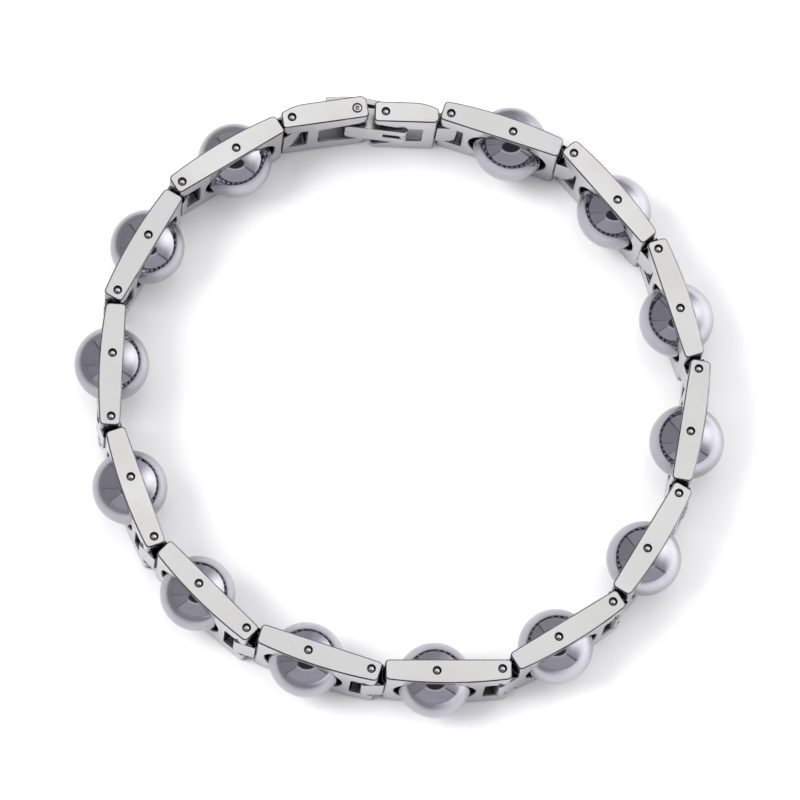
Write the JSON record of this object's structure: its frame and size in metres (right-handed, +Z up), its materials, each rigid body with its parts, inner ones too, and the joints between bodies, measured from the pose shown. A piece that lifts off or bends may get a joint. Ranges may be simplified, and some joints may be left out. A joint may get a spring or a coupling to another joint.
{
  "type": "stone bead bracelet",
  "caption": "Steel link bracelet that holds a round stone bead on a pin in the window of each link, closed by a fold-over clasp.",
  "frame": {"origin": "centre of the bracelet's box, at its lower edge, as it stands on its edge", "axes": "+Z up along the pins, across the bracelet's width; +Y towards the clasp; the links run counterclockwise from above"},
  "size_m": [0.0686, 0.068, 0.01],
  "materials": {
    "link_steel": "polished stainless steel",
    "pin_steel": "polished stainless steel",
    "bead_stone": "mirror-polished grey metallic stone"
  },
  "bodies": {
    "bracelet": {"link_01": "link_steel", "link_02": "link_steel", "link_03": "link_steel", "link_04": "link_steel", "link_05": "link_steel", "link_06": "link_steel", "link_07": "link_steel", "link_08": "link_steel", "link_09": "link_steel", "link_10": "link_steel", "link_11": "link_steel", "link_12": "link_steel", "link_13": "link_steel", "bead_pin_01": "pin_steel", "bead_pin_02": "pin_steel", "bead_pin_03": "pin_steel", "bead_pin_04": "pin_steel", "bead_pin_05": "pin_steel", "bead_pin_06": "pin_steel", "bead_pin_07": "pin_steel", "bead_pin_08": "pin_steel", "bead_pin_09": "pin_steel", "bead_pin_10": "pin_steel", "bead_pin_11": "pin_steel", "bead_pin_12": "pin_steel", "bead_pin_13": "pin_steel", "hinge_pin_01": "pin_steel", "hinge_pin_02": "pin_steel", "hinge_pin_03": "pin_steel", "hinge_pin_04": "pin_steel", "hinge_pin_05": "pin_steel", "hinge_pin_06": "pin_steel", "hinge_pin_07": "pin_steel", "hinge_pin_08": "pin_steel", "hinge_pin_09": "pin_steel", "hinge_pin_10": "pin_steel", "hinge_pin_11": "pin_steel", "hinge_pin_12": "pin_steel", "hinge_pin_13": "pin_steel", "hinge_pin_14": "pin_steel", "pivot_link": "link_steel", "pivot_pin": "pin_steel", "catch_link": "link_steel", "catch_pin": "pin_steel", "clasp_base": "link_steel", "cover_hinge_pin": "pin_steel"},
    "cover": {"clasp_cover": "link_steel"},
    "bead_01_body": {"bead_01": "bead_stone"},
    "bead_02_body": {"bead_02": "bead_stone"},
    "bead_03_body": {"bead_03": "bead_stone"},
    "bead_04_body": {"bead_04": "bead_stone"},
    "bead_05_body": {"bead_05": "bead_stone"},
    "bead_06_body": {"bead_06": "bead_stone"},
    "bead_07_body": {"bead_07": "bead_stone"},
    "bead_08_body": {"bead_08": "bead_stone"},
    "bead_09_body": {"bead_09": "bead_stone"},
    "bead_10_body": {"bead_10": "bead_stone"},
    "bead_11_body": {"bead_11": "bead_stone"},
    "bead_12_body": {"bead_12": "bead_stone"},
    "bead_13_body": {"bead_13": "bead_stone"}
  },
  "joints": [
    {"name": "cover_swing", "type": "hinge", "parent": "bracelet", "child": "cover", "pos_m": [0.00251, 0.03005, 0.005], "axis": [0, 0, -1], "range_deg": [0, 95]},
    {"name": "bead_01_spin", "type": "hinge", "parent": "bracelet", "child": "bead_01_body", "pos_m": [-0.01572, 0.02809, 0.005], "axis": [0, 0, 1], "continuous": true},
    {"name": "bead_02_spin", "type": "hinge", "parent": "bracelet", "child": "bead_02_body", "pos_m": [-0.0257, 0.01903, 0.005], "axis": [0, 0, 1], "continuous": true},
    {"name": "bead_03_spin", "type": "hinge", "parent": "bracelet", "child": "bead_03_body", "pos_m": [-0.03032, 0.00633, 0.005], "axis": [0, 0, 1], "continuous": true},
    {"name": "bead_04_spin", "type": "hinge", "parent": "bracelet", "child": "bead_04_body", "pos_m": [-0.02925, -0.00725, 0.005], "axis": [0, 0, 1], "continuous": true},
    {"name": "bead_05_spin", "type": "hinge", "parent": "bracelet", "child": "bead_05_body", "pos_m": [-0.02284, -0.01918, 0.005], "axis": [0, 0, 1], "continuous": true},
    {"name": "bead_06_spin", "type": "hinge", "parent": "bracelet", "child": "bead_06_body", "pos_m": [-0.01184, -0.02703, 0.005], "axis": [0, 0, 1], "continuous": true},
    {"name": "bead_07_spin", "type": "hinge", "parent": "bracelet", "child": "bead_07_body", "pos_m": [0.00151, -0.03005, 0.005], "axis": [0, 0, 1], "continuous": true},
    {"name": "bead_08_spin", "type": "hinge", "parent": "bracelet", "child": "bead_08_body", "pos_m": [0.0146, -0.02721, 0.005], "axis": [0, 0, 1], "continuous": true},
    {"name": "bead_09_spin", "type": "hinge", "parent": "bracelet", "child": "bead_09_body", "pos_m": [0.02472, -0.01826, 0.005], "axis": [0, 0, 1], "continuous": true},
    {"name": "bead_10_spin", "type": "hinge", "parent": "bracelet", "child": "bead_10_body", "pos_m": [0.03032, -0.00583, 0.005], "axis": [0, 0, 1], "continuous": true},
    {"name": "bead_11_spin", "type": "hinge", "parent": "bracelet", "child": "bead_11_body", "pos_m": [0.03032, 0.00769, 0.005], "axis": [0, 0, 1], "continuous": true},
    {"name": "bead_12_spin", "type": "hinge", "parent": "bracelet", "child": "bead_12_body", "pos_m": [0.02457, 0.02001, 0.005], "axis": [0, 0, 1], "continuous": true},
    {"name": "bead_13_spin", "type": "hinge", "parent": "bracelet", "child": "bead_13_body", "pos_m": [0.01398, 0.02821, 0.005], "axis": [0, 0, 1], "continuous": true}
  ]
}
